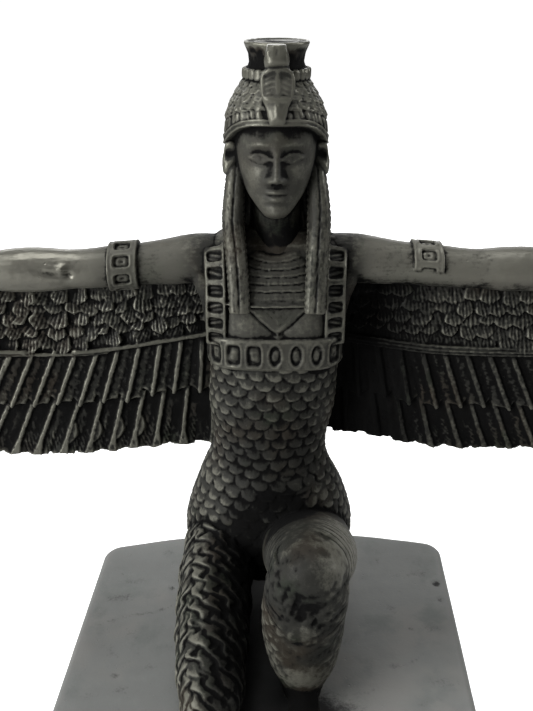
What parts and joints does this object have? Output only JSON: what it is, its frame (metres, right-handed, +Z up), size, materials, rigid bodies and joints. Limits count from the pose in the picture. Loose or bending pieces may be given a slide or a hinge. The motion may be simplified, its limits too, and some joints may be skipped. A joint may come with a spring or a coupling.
{
  "type": "winged goddess statue",
  "caption": "Kneeling goddess statue with spread wings on a soft-edged plinth, cast in dark stone composite.",
  "frame": {"origin": "centre of the statue's bounding box at the plinth's underside", "axes": "+Z up, +X along the wings to the figure's left, the figure faces -Y"},
  "size_m": [0.4, 0.1732, 0.3003],
  "materials": {
    "figure": "satin",
    "plinth": "satin"
  },
  "bodies": {
    "root": {"winged_figure": "figure", "plinth": "plinth"}
  },
  "joints": []
}
